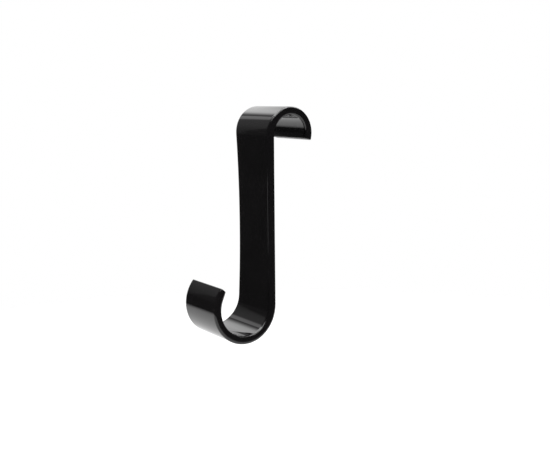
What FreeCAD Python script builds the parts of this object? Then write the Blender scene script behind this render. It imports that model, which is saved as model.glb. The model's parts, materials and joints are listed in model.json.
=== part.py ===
"""One-piece moulded hook that sits over a round rail and carries clothes or laundry in a curl below it.

Frame: the origin is on the rail's axis, at the middle of the hook's width. X runs along the rail, -Y is the
front, where the shank and the curl are, and Z is up. Every size is in millimetres.

The hook is one strip of constant thickness. Seen from the side it is a chain of tangent arcs: the saddle over
the rail, a shank that bows very slightly back, and the curl, which ends in a lip bent back over the opening.
Seen from the front both sides are shallow hollow arcs, so the strip is narrowest at mid height.
"""
import FreeCAD
import Part
import math
import os

# Rail and saddle
RAIL_DIAMETER = 25.0
RAIL_CLEARANCE = 0.15  # radial gap between the rail and the saddle
SADDLE_BACK_WRAP = 15.0  # degrees that the saddle reaches below the rail's axis at the back

# Strip
STRIP_WIDTH = 41.5  # at the very top and the very bottom
WAIST_DEPTH = 2.3  # how far each side is hollowed at mid height
STRIP_THICKNESS = 5.5
EDGE_RADIUS = 1.5  # rounding of the long edges
END_RADIUS = 0.6  # rounding of the edges round both ends

# Shank
SHANK_LENGTH = 113.0  # straight distance from the end of the saddle to the start of the curl
SHANK_BOW = 0.8  # how far the middle of the shank lies behind its ends

# Curl
CURL_INNER_RADIUS = 18.6
LIP_ANGLE = 41.0  # degrees that the lip turns back over the opening, past the upright
LIP_RELIEF = 6.0  # straight run of the inner face behind the lip's end, which thins the lip

# Worked out from the sizes above
SADDLE_INNER_RADIUS = RAIL_DIAMETER / 2 + RAIL_CLEARANCE
SADDLE_OUTER_RADIUS = SADDLE_INNER_RADIUS + STRIP_THICKNESS
CURL_OUTER_RADIUS = CURL_INNER_RADIUS + STRIP_THICKNESS
BOW_ANGLE = math.degrees(2 * math.atan(2 * SHANK_BOW / SHANK_LENGTH))


def direction(angle):
    """Unit vector in the side view, at an angle in degrees from +Y towards +Z."""
    turn = math.radians(angle)
    return FreeCAD.Vector(0, math.cos(turn), math.sin(turn))


def arc(centre, radius, start, end):
    """Arc in the side view, about centre, from one angle to another."""
    middle = (start + end) / 2
    points = [centre + direction(angle) * radius for angle in (start, middle, end)]
    return Part.Arc(*points).toShape()


def line(start, end):
    return Part.LineSegment(start, end).toShape()


def side_profile():
    """The strip's closed outline in the side view, the heights of its top and bottom, and its two end lines."""
    axis = FreeCAD.Vector(0, 0, 0)
    saddle_middle = (SADDLE_INNER_RADIUS + SADDLE_OUTER_RADIUS) / 2
    saddle_end = 180 + BOW_ANGLE

    # The shank's centre of curvature is far out in front, level with the shank's middle.
    shank_radius = SHANK_LENGTH / (2 * math.sin(math.radians(BOW_ANGLE)))
    shank_front_radius = shank_radius - STRIP_THICKNESS / 2
    shank_back_radius = shank_radius + STRIP_THICKNESS / 2
    shank_centre = direction(saddle_end) * (saddle_middle + shank_radius)

    # The curl starts where the shank ends and turns forward and up from there.
    curl_middle = (CURL_INNER_RADIUS + CURL_OUTER_RADIUS) / 2
    shank_foot = shank_centre + direction(-BOW_ANGLE) * shank_radius
    curl_centre = shank_foot - direction(-BOW_ANGLE) * curl_middle
    lip_end = -(180 + LIP_ANGLE)

    # The inner face leaves its arc at a tangent, so that the lip thins towards its end. The lip's end is
    # square to the outer face.
    relief_start = lip_end + math.degrees(math.atan(LIP_RELIEF / CURL_INNER_RADIUS))
    inner_tangent_point = curl_centre + direction(relief_start) * CURL_INNER_RADIUS
    lip_inner_corner = curl_centre + direction(lip_end) * math.hypot(CURL_INNER_RADIUS, LIP_RELIEF)
    lip_outer_corner = curl_centre + direction(lip_end) * CURL_OUTER_RADIUS

    back_end = -SADDLE_BACK_WRAP
    lip_line = line(lip_inner_corner, lip_outer_corner)
    back_line = line(direction(back_end) * SADDLE_INNER_RADIUS, direction(back_end) * SADDLE_OUTER_RADIUS)
    edges = [
        arc(axis, SADDLE_OUTER_RADIUS, back_end, saddle_end),
        arc(shank_centre, shank_front_radius, BOW_ANGLE, -BOW_ANGLE),
        arc(curl_centre, CURL_INNER_RADIUS, -BOW_ANGLE, relief_start),
        line(inner_tangent_point, lip_inner_corner),
        lip_line,
        arc(curl_centre, CURL_OUTER_RADIUS, lip_end, -BOW_ANGLE),
        arc(shank_centre, shank_back_radius, -BOW_ANGLE, BOW_ANGLE),
        arc(axis, SADDLE_INNER_RADIUS, saddle_end, back_end),
        back_line,
    ]
    top = SADDLE_OUTER_RADIUS
    bottom = curl_centre.z - CURL_OUTER_RADIUS
    return Part.Face(Part.Wire(Part.__sortEdges__(edges))), top, bottom, [lip_line, back_line]


def front_outline(top, bottom):
    """Closed outline in the front view: flat across the top and the bottom, hollow down both sides."""
    half = STRIP_WIDTH / 2
    middle = (top + bottom) / 2
    corners = {}
    waist = {}
    for side in (-1, 1):
        corners[side, "top"] = FreeCAD.Vector(side * half, 0, top)
        corners[side, "bottom"] = FreeCAD.Vector(side * half, 0, bottom)
        waist[side] = FreeCAD.Vector(side * (half - WAIST_DEPTH), 0, middle)
    edges = [
        line(corners[-1, "top"], corners[1, "top"]),
        Part.Arc(corners[1, "top"], waist[1], corners[1, "bottom"]).toShape(),
        line(corners[1, "bottom"], corners[-1, "bottom"]),
        Part.Arc(corners[-1, "bottom"], waist[-1], corners[-1, "top"]).toShape(),
    ]
    return Part.Face(Part.Wire(edges))


def edges_round_ends(solid, end_lines):
    """The solid's edges that lie in the flat faces drawn out from the side view's end lines."""
    found = []
    for end_line in end_lines:
        start = end_line.Vertexes[0].Point
        normal = (end_line.Vertexes[1].Point - start).cross(FreeCAD.Vector(1, 0, 0)).normalize()
        for edge in solid.Edges:
            heights = [abs((vertex.Point - start).dot(normal)) for vertex in edge.Vertexes]
            near = (edge.CenterOfMass - start).cross(FreeCAD.Vector(1, 0, 0)).Length < 2 * STRIP_THICKNESS
            if near and max(heights) < 0.001:
                found.append(edge)
    return found


def hook():
    """The strip: its side view drawn out along X, trimmed to its front view, with every edge rounded."""
    profile, top, bottom, end_lines = side_profile()
    half = STRIP_WIDTH / 2
    profile.translate(FreeCAD.Vector(-half, 0, 0))
    blank = profile.extrude(FreeCAD.Vector(2 * half, 0, 0))

    depth = 2 * (SADDLE_OUTER_RADIUS + 2 * CURL_OUTER_RADIUS)
    outline = front_outline(top, bottom)
    outline.translate(FreeCAD.Vector(0, -depth / 2, 0))
    strip = blank.common(outline.extrude(FreeCAD.Vector(0, depth, 0))).Solids[0]

    ends = edges_round_ends(strip, end_lines)
    long_edges = [edge for edge in strip.Edges if not any(edge.isSame(end) for end in ends)]
    strip = strip.makeFillet(EDGE_RADIUS, long_edges).Solids[0]
    strip = strip.makeFillet(END_RADIUS, edges_round_ends(strip, end_lines)).Solids[0]
    return strip


os.makedirs("parts", exist_ok=True)
hook().exportStep("parts/hook.step")
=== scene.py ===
"""Studio scene of a one-piece moulded hook for a round rail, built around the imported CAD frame.

The CAD node is one rigid strip. Here it is remade as a dense, smooth mesh of the same size, with the slight
waves and cutter marks that a glossy moulding shows, and dressed in glossy black plastic. Metres throughout;
X runs along the rail, -Y is the front, Z is up, and the rail's axis passes through the origin.
"""
import json
import math

import bmesh
import bpy
import numpy as np
from mathutils import Matrix, Vector, noise


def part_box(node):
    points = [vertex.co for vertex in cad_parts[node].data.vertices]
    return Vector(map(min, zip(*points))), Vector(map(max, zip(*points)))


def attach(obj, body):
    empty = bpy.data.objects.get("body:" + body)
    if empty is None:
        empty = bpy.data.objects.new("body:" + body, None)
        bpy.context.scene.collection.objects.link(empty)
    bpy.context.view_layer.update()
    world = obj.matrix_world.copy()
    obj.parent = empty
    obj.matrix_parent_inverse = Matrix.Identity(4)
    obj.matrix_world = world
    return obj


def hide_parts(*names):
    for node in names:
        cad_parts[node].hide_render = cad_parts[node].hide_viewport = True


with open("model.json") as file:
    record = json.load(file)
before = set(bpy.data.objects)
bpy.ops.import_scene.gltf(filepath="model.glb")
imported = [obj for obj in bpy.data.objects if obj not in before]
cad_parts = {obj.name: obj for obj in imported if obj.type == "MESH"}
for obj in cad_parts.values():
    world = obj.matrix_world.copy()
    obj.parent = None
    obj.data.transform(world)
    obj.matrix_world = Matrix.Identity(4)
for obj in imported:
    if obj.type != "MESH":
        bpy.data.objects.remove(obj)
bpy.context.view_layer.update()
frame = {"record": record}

MM = 0.001

# Sizes of the hook that the frame doesn't state. The rest are read from the mounts and the CAD box.
STRIP_WIDTH = 41.5 * MM
WAIST_DEPTH = 2.3 * MM
EDGE_RADIUS = 1.5 * MM
END_RADIUS = 0.6 * MM
SHANK_BOW = 0.8 * MM
SADDLE_BACK_WRAP = 15.0
LIP_ANGLE = 41.0
LIP_RELIEF = 6.0 * MM

# Mesh density
STATION_STEP = 0.6 * MM
FEWEST_STATIONS = 8
STATIONS_AT_END = 10
POINTS_ACROSS = 42
POINTS_PER_CORNER = 8
POINTS_PER_SIDE = 3

# Unevenness of the moulded surface
LONG_WAVE_HEIGHT = 0.012 * MM
LONG_WAVE_LENGTH = 22.0 * MM
CUTTER_MARK_HEIGHT = 0.0025 * MM
CUTTER_MARK_SPACING = 2.6 * MM
FACE_SHIFT = 4.0 * MM  # sets the front face's waves apart from the back face's

# Plastic: its tint runs between two near blacks and its roughness between a clean and a hazy value. Scales
# are those of noise patterns, per metre.
PLASTIC_IOR = 1.5
DARK_TINT = (0.0026, 0.0023, 0.0026)
LIGHT_TINT = (0.0044, 0.0038, 0.0043)
TINT_SCALE = 45.0
TINT_BAND = (0.35, 0.70)
HAZE_SCALE = 70.0
HAZE_BAND = (0.30, 0.75)
CLEAN_ROUGHNESS = 0.035
HAZY_ROUGHNESS = 0.085
SKIN_SCALE = 900.0
SKIN_STRENGTH = 0.015
SKIN_DEPTH = 0.2 * MM

# Camera
CAMERA_PLACE = (0.4872, -0.3394, 0.0275)
CAMERA_YAW = 55.10
CAMERA_PITCH = 8.68
CAMERA_ROLL = -0.57
CAMERA_LENS = 56.91
SENSOR_WIDTH = 36.0
CLIP_START = 0.01
CLIP_END = 20.0

# Floor, which fades out between two shares of its radius, and the dim room that all but the camera sees
FLOOR_HEIGHT = -0.30
FLOOR_RADIUS = 2.0
FLOOR_SIDES = 96
FLOOR_PAINT = (0.68, 0.68, 0.68)
FLOOR_FADE_START = 0.30
FLOOR_FADE_END = 0.42
ROOM_IN_GLOSS = 0.08

# Two softboxes side by side behind a large sheet of diffusion, to the left of the hook and square to the
# rail. The boxes lean forward by WALL_SLANT, and their edges are places along Y at the rail's height.
WALL_PLACE = -0.90
WALL_FRONT = -0.60
WALL_BACK = 0.70
WALL_TOP = 0.80
WALL_SLANT = 0.45
WALL_DIM = 0.30
# Each softbox is (front edge, back edge, softness of the front edge, softness of the back edge, radiance).
WALL_SOFTBOXES = (
    (-0.10, 0.15, 0.10, 0.03, 0.9),
    (0.16, 0.90, 0.25, 0.50, 2.2),
)
# The sheet is lit fully above one height, and dims to a share of that at a lower one.
WALL_EVEN_ABOVE = 0.35
WALL_DIM_BELOW = -0.10
WALL_DIM_SHARE = 0.30

# Plain dark flag to the front left, which the flat shank mirrors
FLAG_AZIMUTH = -123.0
FLAG_DISTANCE = 0.80
FLAG_HALF_WIDTH = 0.32
FLAG_LOW = -0.298
FLAG_HIGH = -0.05
FLAG_GLOW = 0.05

# Soft panels that face the hook. Each is (name, azimuth, elevation, distance, width, height, radiance), and
# azimuth 0 is +Y and 90 is +X.
PANELS = (
    ("overhead", 0, 90, 1.5, 1.40, 1.40, 6.5),
    ("back_softbox", -18, 50, 1.6, 1.20, 1.00, 4.0),
    ("high_softbox", -95, 52, 1.4, 0.90, 0.42, 5.0),
    ("key_softbox", 135, 56, 1.5, 1.50, 0.60, 4.2),
    ("side_softbox", 84, 39, 1.5, 0.70, 0.55, 3.2),
    ("low_window", -152, -7.9, 1.2, 0.25, 0.09, 1.5),
)


def read_sizes():
    """The sizes that the frame states: from the record's mounts and the CAD node's box."""
    mounts = {mount["name"]: mount for mount in frame["record"]["mounts"]}
    low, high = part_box("hook")
    size = {}
    size["saddle_inner"] = mounts["rail_saddle"]["dims"]["r_mm"] * MM
    size["curl_inner"] = mounts["curl"]["dims"]["r_mm"] * MM
    size["curl_centre"] = np.array(mounts["curl"]["pos_m"][1:])
    size["thickness"] = high.z - size["saddle_inner"]
    size["top"] = high.z
    size["bottom"] = low.z
    return size


SIZE = read_sizes()


def half_width(height):
    """Half the strip's width at a height: the sides are hollow arcs, narrowest at mid height."""
    middle = (SIZE["top"] + SIZE["bottom"]) / 2
    reach = (SIZE["top"] - SIZE["bottom"]) / 2
    radius = (reach**2 + WAIST_DEPTH**2) / (2 * WAIST_DEPTH)
    sag = radius - np.sqrt(radius**2 - (height - middle) ** 2)
    return STRIP_WIDTH / 2 - WAIST_DEPTH + sag


def arc_stations(centre, radius, start, end, front_is_outside):
    """Points along an arc in the side view, the unit vectors towards the front face, and the angles."""
    count = max(FEWEST_STATIONS, round(abs(math.radians(end - start)) * radius / STATION_STEP))
    angles = np.radians(np.linspace(start, end, count))
    spokes = np.column_stack([np.cos(angles), np.sin(angles)])
    points = centre + radius * spokes
    normals = spokes if front_is_outside else -spokes
    return points, normals, angles


def stations():
    """The strip's middle line from the saddle's back end to the lip, as arrays with one row per station.

    They are the points, the unit vectors towards the front face, how far the front and the back face lie
    from the middle line, and the length along it.
    """
    half = SIZE["thickness"] / 2
    saddle_radius = SIZE["saddle_inner"] + half
    curl_radius = SIZE["curl_inner"] + half

    # The shank's length follows from where the saddle ends and the curl begins.
    drop = -SIZE["curl_centre"][1]
    bow = 2 * math.atan(2 * SHANK_BOW / drop)
    length = drop + (curl_radius - saddle_radius) * math.sin(bow)
    shank_radius = length / (2 * math.sin(bow))
    toward_front = np.array([-math.cos(bow), -math.sin(bow)])
    shank_centre = toward_front * (saddle_radius + shank_radius)
    shank_foot = toward_front * saddle_radius + np.array([0, -length])
    curl_centre = shank_foot + np.array([-math.cos(bow), math.sin(bow)]) * curl_radius
    bow = math.degrees(bow)
    lip_end = -(180 + LIP_ANGLE)

    saddle = arc_stations(np.zeros(2), saddle_radius, -SADDLE_BACK_WRAP, 180 + bow, True)
    shank = arc_stations(shank_centre, shank_radius, bow, -bow, False)
    curl = arc_stations(curl_centre, curl_radius, -bow, lip_end, False)
    points = np.vstack([saddle[0], shank[0][1:], curl[0][1:]])
    normals = np.vstack([saddle[1], shank[1][1:], curl[1][1:]])

    # Behind the lip's end the inner face runs straight, so the strip thins there.
    front = np.full(len(points), half)
    relief_start = math.radians(lip_end) + math.atan(LIP_RELIEF / SIZE["curl_inner"])
    past = np.clip(relief_start - curl[2][1:], 0, None)
    front[-len(past):] = curl_radius - SIZE["curl_inner"] / np.cos(past)

    steps = np.linalg.norm(np.diff(points, axis=0), axis=1)
    along = np.concatenate([[0], np.cumsum(steps)])
    return points, normals, front, np.full(len(points), half), along


def refine_ends(rows):
    """Adds stations within one end radius of both ends, where the ends are rounded over."""
    points, normals, front, back, along = rows
    rounding = END_RADIUS * (1 - np.cos(np.linspace(0, math.pi / 2, STATIONS_AT_END)))
    extra = np.concatenate([rounding, along[-1] - rounding])
    wanted = np.unique(np.concatenate([along, extra]))

    def at_wanted(column):
        return np.interp(wanted, along, column)

    points = np.column_stack([at_wanted(column) for column in points.T])
    normals = np.column_stack([at_wanted(column) for column in normals.T])
    return points, normals, at_wanted(front), at_wanted(back), wanted


def section_template():
    """Shares that place the points of a rounded-rectangle section.

    Each row is (across, corner across, through, corner through). Across runs from -1 to 1 over the flat of
    a face, and through runs from -1 at the back face to 1 at the front face. The corner shares scale the
    edge radius.
    """
    rows = []

    def flat(start, end, count):
        for share in np.linspace(0, 1, count)[1:-1]:
            rows.append([a + (b - a) * share for a, b in zip(start, end)])

    def corner(across, through, start):
        for step in range(POINTS_PER_CORNER + 1):
            angle = math.radians(start - 90 * step / POINTS_PER_CORNER)
            rows.append([across, math.cos(angle), through, math.sin(angle)])

    flat([-1, 0, 1, 1], [1, 0, 1, 1], POINTS_ACROSS)
    corner(1, 1, 90)
    flat([1, 1, 1, 0], [1, 1, -1, 0], POINTS_PER_SIDE + 2)
    corner(1, -1, 0)
    flat([1, 0, -1, -1], [-1, 0, -1, -1], POINTS_ACROSS)
    corner(-1, -1, -90)
    flat([-1, -1, -1, 0], [-1, -1, 1, 0], POINTS_PER_SIDE + 2)
    corner(-1, 1, -180)
    return np.array(rows, float)


def strip_vertices(rows, template):
    """Grid of vertices, one ring of the section per station."""
    points, normals, front, back, along = rows
    to_end = np.minimum(along, along[-1] - along)
    short = np.clip(END_RADIUS - to_end, 0, END_RADIUS)
    inset = END_RADIUS - np.sqrt(END_RADIUS**2 - short**2)
    corner_radius = (EDGE_RADIUS - inset)[:, None]
    across, corner_across, through, corner_through = template.T
    near = -(back - EDGE_RADIUS)[:, None]
    far = (front - EDGE_RADIUS)[:, None]
    depth = near + (far - near) * (through + 1) / 2 + corner_through * corner_radius
    y = points[:, :1] + normals[:, :1] * depth
    z = points[:, 1:] + normals[:, 1:] * depth
    x = across * (half_width(z) - EDGE_RADIUS) + corner_across * corner_radius
    return np.stack([x, y, z], axis=-1)


def strip_faces(ring_count, ring_size):
    """Quads between neighbouring rings, and two flat ends: quads with one larger face at each side."""
    faces = []
    for ring in range(ring_count - 1):
        for k in range(ring_size):
            after = (k + 1) % ring_size
            first = ring * ring_size
            second = first + ring_size
            faces.append((first + k, first + after, second + after, second + k))
    flat = POINTS_ACROSS - 2
    side = 2 * (POINTS_PER_CORNER + 1) + POINTS_PER_SIDE
    for first in (0, (ring_count - 1) * ring_size):
        for k in range(flat - 1):
            opposite = flat + side + flat - 1 - k
            faces.append((first + k, first + k + 1, first + opposite - 1, first + opposite))
        right = range(flat - 1, flat + side + 1)
        left = range(flat + side + flat - 1, ring_size + 1)
        faces.append(tuple(first + k for k in right))
        faces.append(tuple(first + k % ring_size for k in left))
    return faces


def unevenness(vertices, along, normals_out):
    """How far each vertex moves along its normal: about a hundredth of a millimetre."""
    rings, size, _ = vertices.shape
    moved = np.zeros((rings, size))
    for i in range(rings):
        mark = noise.noise(Vector((0, 0, along[i] / CUTTER_MARK_SPACING)))
        for k in range(size):
            shift = normals_out[i, k, 1] * FACE_SHIFT
            place = Vector((vertices[i, k, 0], shift, along[i])) / LONG_WAVE_LENGTH
            moved[i, k] = LONG_WAVE_HEIGHT * noise.noise(place) + CUTTER_MARK_HEIGHT * mark
    return moved


def build_hook():
    """The whole moulding as one closed mesh."""
    rows = refine_ends(stations())
    template = section_template()
    vertices = strip_vertices(rows, template)
    rings, size, _ = vertices.shape
    mesh = bpy.data.meshes.new("hook_moulding")
    mesh.from_pydata(vertices.reshape(-1, 3).tolist(), [], strip_faces(rings, size))
    editable = bmesh.new()
    editable.from_mesh(mesh)
    bmesh.ops.recalc_face_normals(editable, faces=editable.faces)
    editable.to_mesh(mesh)
    editable.free()
    normals_out = np.array([v.normal for v in mesh.vertices]).reshape(rings, size, 3)
    moved = vertices + normals_out * unevenness(vertices, rows[4], normals_out)[..., None]
    mesh.vertices.foreach_set("co", moved.astype(np.float32).ravel())
    mesh.polygons.foreach_set("use_smooth", [True] * len(mesh.polygons))
    mesh.update()
    piece = bpy.data.objects.new("hook_moulding", mesh)
    bpy.context.scene.collection.objects.link(piece)
    return piece


class Nodes:
    """Short helper for building a node tree."""

    def __init__(self, tree):
        self.tree = tree
        tree.nodes.clear()

    def add(self, kind, **values):
        """A new node. Each value sets the input of that name, or else the node's own setting."""
        node = self.tree.nodes.new("ShaderNode" + kind)
        for name, value in values.items():
            if name in node.inputs:
                node.inputs[name].default_value = value
            else:
                setattr(node, name, value)
        return node

    def link(self, source, target):
        self.tree.links.new(source, target)

    def math(self, operation, first, second):
        """The output of a Math node; second is a number or another node's output."""
        node = self.add("Math", operation=operation)
        self.link(first, node.inputs[0])
        if isinstance(second, float):
            node.inputs[1].default_value = second
        else:
            self.link(second, node.inputs[1])
        return node.outputs["Value"]

    def ramp(self, source, start, end, low=0.0, high=1.0, smooth=True):
        """A value that runs from low to high between two places and stays level outside them."""
        node = self.add("MapRange", interpolation_type="SMOOTHSTEP" if smooth else "LINEAR")
        node.inputs["From Min"].default_value = start
        node.inputs["From Max"].default_value = end
        node.inputs["To Min"].default_value = low
        node.inputs["To Max"].default_value = high
        self.link(source, node.inputs["Value"])
        return node.outputs["Result"]

    def blend(self, source, stops):
        """A colour ramp between (place, colour) stops."""
        node = self.add("ValToRGB")
        for element, (place, colour) in zip(node.color_ramp.elements, stops):
            element.position = place
            element.color = (*colour, 1)
        self.link(source, node.inputs["Fac"])
        return node.outputs["Color"]


def gloss_black_plastic():
    """Deep black moulded plastic: a hard gloss with faint handling haze and a very fine skin texture."""
    material = bpy.data.materials.new("gloss_black_plastic")
    material.use_nodes = True
    n = Nodes(material.node_tree)
    output = n.add("OutputMaterial")
    shader = n.add("BsdfPrincipled", IOR=PLASTIC_IOR)
    n.link(shader.outputs["BSDF"], output.inputs["Surface"])
    place = n.add("TexCoord")

    tint = n.add("TexNoise", Scale=TINT_SCALE, Detail=3.0)
    n.link(place.outputs["Object"], tint.inputs["Vector"])
    tints = zip(TINT_BAND, (DARK_TINT, LIGHT_TINT))
    n.link(n.blend(tint.outputs["Fac"], tints), shader.inputs["Base Color"])

    haze = n.add("TexNoise", Scale=HAZE_SCALE, Detail=5.0, Roughness=0.65)
    n.link(place.outputs["Object"], haze.inputs["Vector"])
    roughness = n.ramp(haze.outputs["Fac"], *HAZE_BAND, CLEAN_ROUGHNESS, HAZY_ROUGHNESS, smooth=False)
    n.link(roughness, shader.inputs["Roughness"])

    skin = n.add("TexNoise", Scale=SKIN_SCALE, Detail=2.0)
    n.link(place.outputs["Object"], skin.inputs["Vector"])
    bump = n.add("Bump", Strength=SKIN_STRENGTH, Distance=SKIN_DEPTH)
    n.link(skin.outputs["Fac"], bump.inputs["Height"])
    n.link(bump.outputs["Normal"], shader.inputs["Normal"])
    return material


def pale_floor():
    """A plain pale floor that fades out at its rim, so that it has no edge."""
    bpy.ops.mesh.primitive_circle_add(
        vertices=FLOOR_SIDES, radius=FLOOR_RADIUS, fill_type="NGON", location=(0, 0, FLOOR_HEIGHT)
    )
    floor = bpy.context.object
    floor.name = "floor"
    material = bpy.data.materials.new("pale_floor")
    material.use_nodes = True
    n = Nodes(material.node_tree)
    output = n.add("OutputMaterial")
    mix = n.add("MixShader")
    paint = n.add("BsdfDiffuse", Color=(*FLOOR_PAINT, 1))
    clear = n.add("BsdfTransparent")
    place = n.add("TexCoord")
    distance = n.add("VectorMath", operation="LENGTH")
    n.link(place.outputs["Object"], distance.inputs[0])
    share = n.math("DIVIDE", distance.outputs["Value"], FLOOR_RADIUS)
    stops = ((FLOOR_FADE_START, (0, 0, 0)), (FLOOR_FADE_END, (1, 1, 1)))
    n.link(n.blend(share, stops), mix.inputs["Fac"])
    n.link(paint.outputs["BSDF"], mix.inputs[1])
    n.link(clear.outputs["BSDF"], mix.inputs[2])
    n.link(mix.outputs["Shader"], output.inputs["Surface"])
    floor.data.materials.append(material)


def studio_world():
    """White behind everything for the camera; the hook's gloss and the floor see a dim room instead."""
    world = bpy.data.worlds.new("studio")
    bpy.context.scene.world = world
    world.use_nodes = True
    world.cycles.sampling_method = "NONE"
    n = Nodes(world.node_tree)
    output = n.add("OutputWorld")
    mix = n.add("MixShader")
    white = n.add("Background", Color=(1, 1, 1, 1), Strength=1.0)
    room = n.add("Background", Color=(1, 1, 1, 1), Strength=ROOM_IN_GLOSS)
    ray = n.add("LightPath")
    n.link(ray.outputs["Is Camera Ray"], mix.inputs["Fac"])
    n.link(room.outputs["Background"], mix.inputs[1])
    n.link(white.outputs["Background"], mix.inputs[2])
    n.link(mix.outputs["Shader"], output.inputs["Surface"])


def panel(name, azimuth, elevation, distance, width, height, radiance):
    """A soft light panel that faces the middle of the hook and that the camera doesn't see."""
    turn = math.radians(azimuth)
    rise = math.radians(elevation)
    away = Vector((math.sin(turn) * math.cos(rise), math.cos(turn) * math.cos(rise), math.sin(rise)))
    aim = Vector((0, 0, (SIZE["top"] + SIZE["bottom"]) / 2))
    light = bpy.data.lights.new(name, "AREA")
    light.shape = "RECTANGLE"
    light.size = width
    light.size_y = height
    light.energy = radiance * math.pi * width * height
    lamp = bpy.data.objects.new(name, light)
    lamp.location = aim + away * distance
    lamp.rotation_euler = away.to_track_quat("Z", "Y").to_euler()
    lamp.visible_camera = False
    bpy.context.scene.collection.objects.link(lamp)


def card(name, corners):
    """A flat glowing card that the camera doesn't see: the object, its nodes and the glow node."""
    mesh = bpy.data.meshes.new(name)
    mesh.from_pydata(corners, [], [tuple(range(len(corners)))])
    mesh.update()
    sheet = bpy.data.objects.new(name, mesh)
    bpy.context.scene.collection.objects.link(sheet)
    sheet.visible_camera = False
    material = bpy.data.materials.new(name)
    material.use_nodes = True
    mesh.materials.append(material)
    n = Nodes(material.node_tree)
    output = n.add("OutputMaterial")
    glow = n.add("Emission")
    n.link(glow.outputs["Emission"], output.inputs["Surface"])
    return sheet, n, glow


def lit_wall():
    """A sheet of diffusion with two softboxes behind it, which the strip's bends mirror."""
    corners = [
        (WALL_PLACE, WALL_FRONT, FLOOR_HEIGHT),
        (WALL_PLACE, WALL_BACK, FLOOR_HEIGHT),
        (WALL_PLACE, WALL_BACK, WALL_TOP),
        (WALL_PLACE, WALL_FRONT, WALL_TOP),
    ]
    _, n, glow = card("lit_wall", corners)
    place = n.add("TexCoord")
    axes = n.add("SeparateXYZ")
    n.link(place.outputs["Object"], axes.inputs["Vector"])
    along = n.math("ADD", n.math("MULTIPLY", axes.outputs["Z"], WALL_SLANT), axes.outputs["Y"])
    lit = WALL_DIM
    for front, back, front_softness, back_softness, radiance in WALL_SOFTBOXES:
        rise = n.ramp(along, front, front + front_softness)
        drop = n.ramp(along, back, back - back_softness)
        box = n.math("MULTIPLY", n.math("MULTIPLY", rise, drop), radiance)
        lit = n.math("ADD", box, lit)
    fall = n.ramp(axes.outputs["Z"], WALL_DIM_BELOW, WALL_EVEN_ABOVE, low=WALL_DIM_SHARE, smooth=False)
    n.link(n.math("MULTIPLY", lit, fall), glow.inputs["Strength"])


def dark_flag():
    """A plain dark card to the front left, which only the gloss sees."""
    turn = math.radians(FLAG_AZIMUTH)
    centre = Vector((math.sin(turn), math.cos(turn), 0)) * FLAG_DISTANCE
    side = Vector((math.cos(turn), -math.sin(turn), 0)) * FLAG_HALF_WIDTH
    low = Vector((0, 0, FLAG_LOW))
    high = Vector((0, 0, FLAG_HIGH))
    corners = [centre - side + low, centre + side + low, centre + side + high, centre - side + high]
    flag, _, glow = card("dark_flag", [tuple(corner) for corner in corners])
    glow.inputs["Strength"].default_value = FLAG_GLOW
    flag.visible_shadow = False
    flag.visible_diffuse = False


def studio_lights():
    """The lit wall on the left, the dark flag beside it, and the soft panels above and around."""
    lit_wall()
    dark_flag()
    for values in PANELS:
        panel(*values)


def studio_camera():
    """The camera, to the right of the hook and in front of it, a little above the rail and looking down."""
    camera = bpy.data.objects.new("camera", bpy.data.cameras.new("camera"))
    camera.data.lens = CAMERA_LENS
    camera.data.sensor_width = SENSOR_WIDTH
    turn = Matrix.Rotation(math.radians(CAMERA_YAW), 4, "Z")
    tilt = Matrix.Rotation(math.radians(90 - CAMERA_PITCH), 4, "X")
    roll = Matrix.Rotation(math.radians(CAMERA_ROLL), 4, "Z")
    camera.matrix_world = Matrix.Translation(CAMERA_PLACE) @ turn @ tilt @ roll
    camera.data.clip_start = CLIP_START
    camera.data.clip_end = CLIP_END
    bpy.context.scene.collection.objects.link(camera)
    bpy.context.scene.camera = camera


studio_camera()
hook = build_hook()
hook.data.materials.append(gloss_black_plastic())
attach(hook, "root")
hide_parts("hook")
pale_floor()
studio_world()
studio_lights()
bpy.context.scene.view_settings.view_transform = "Standard"
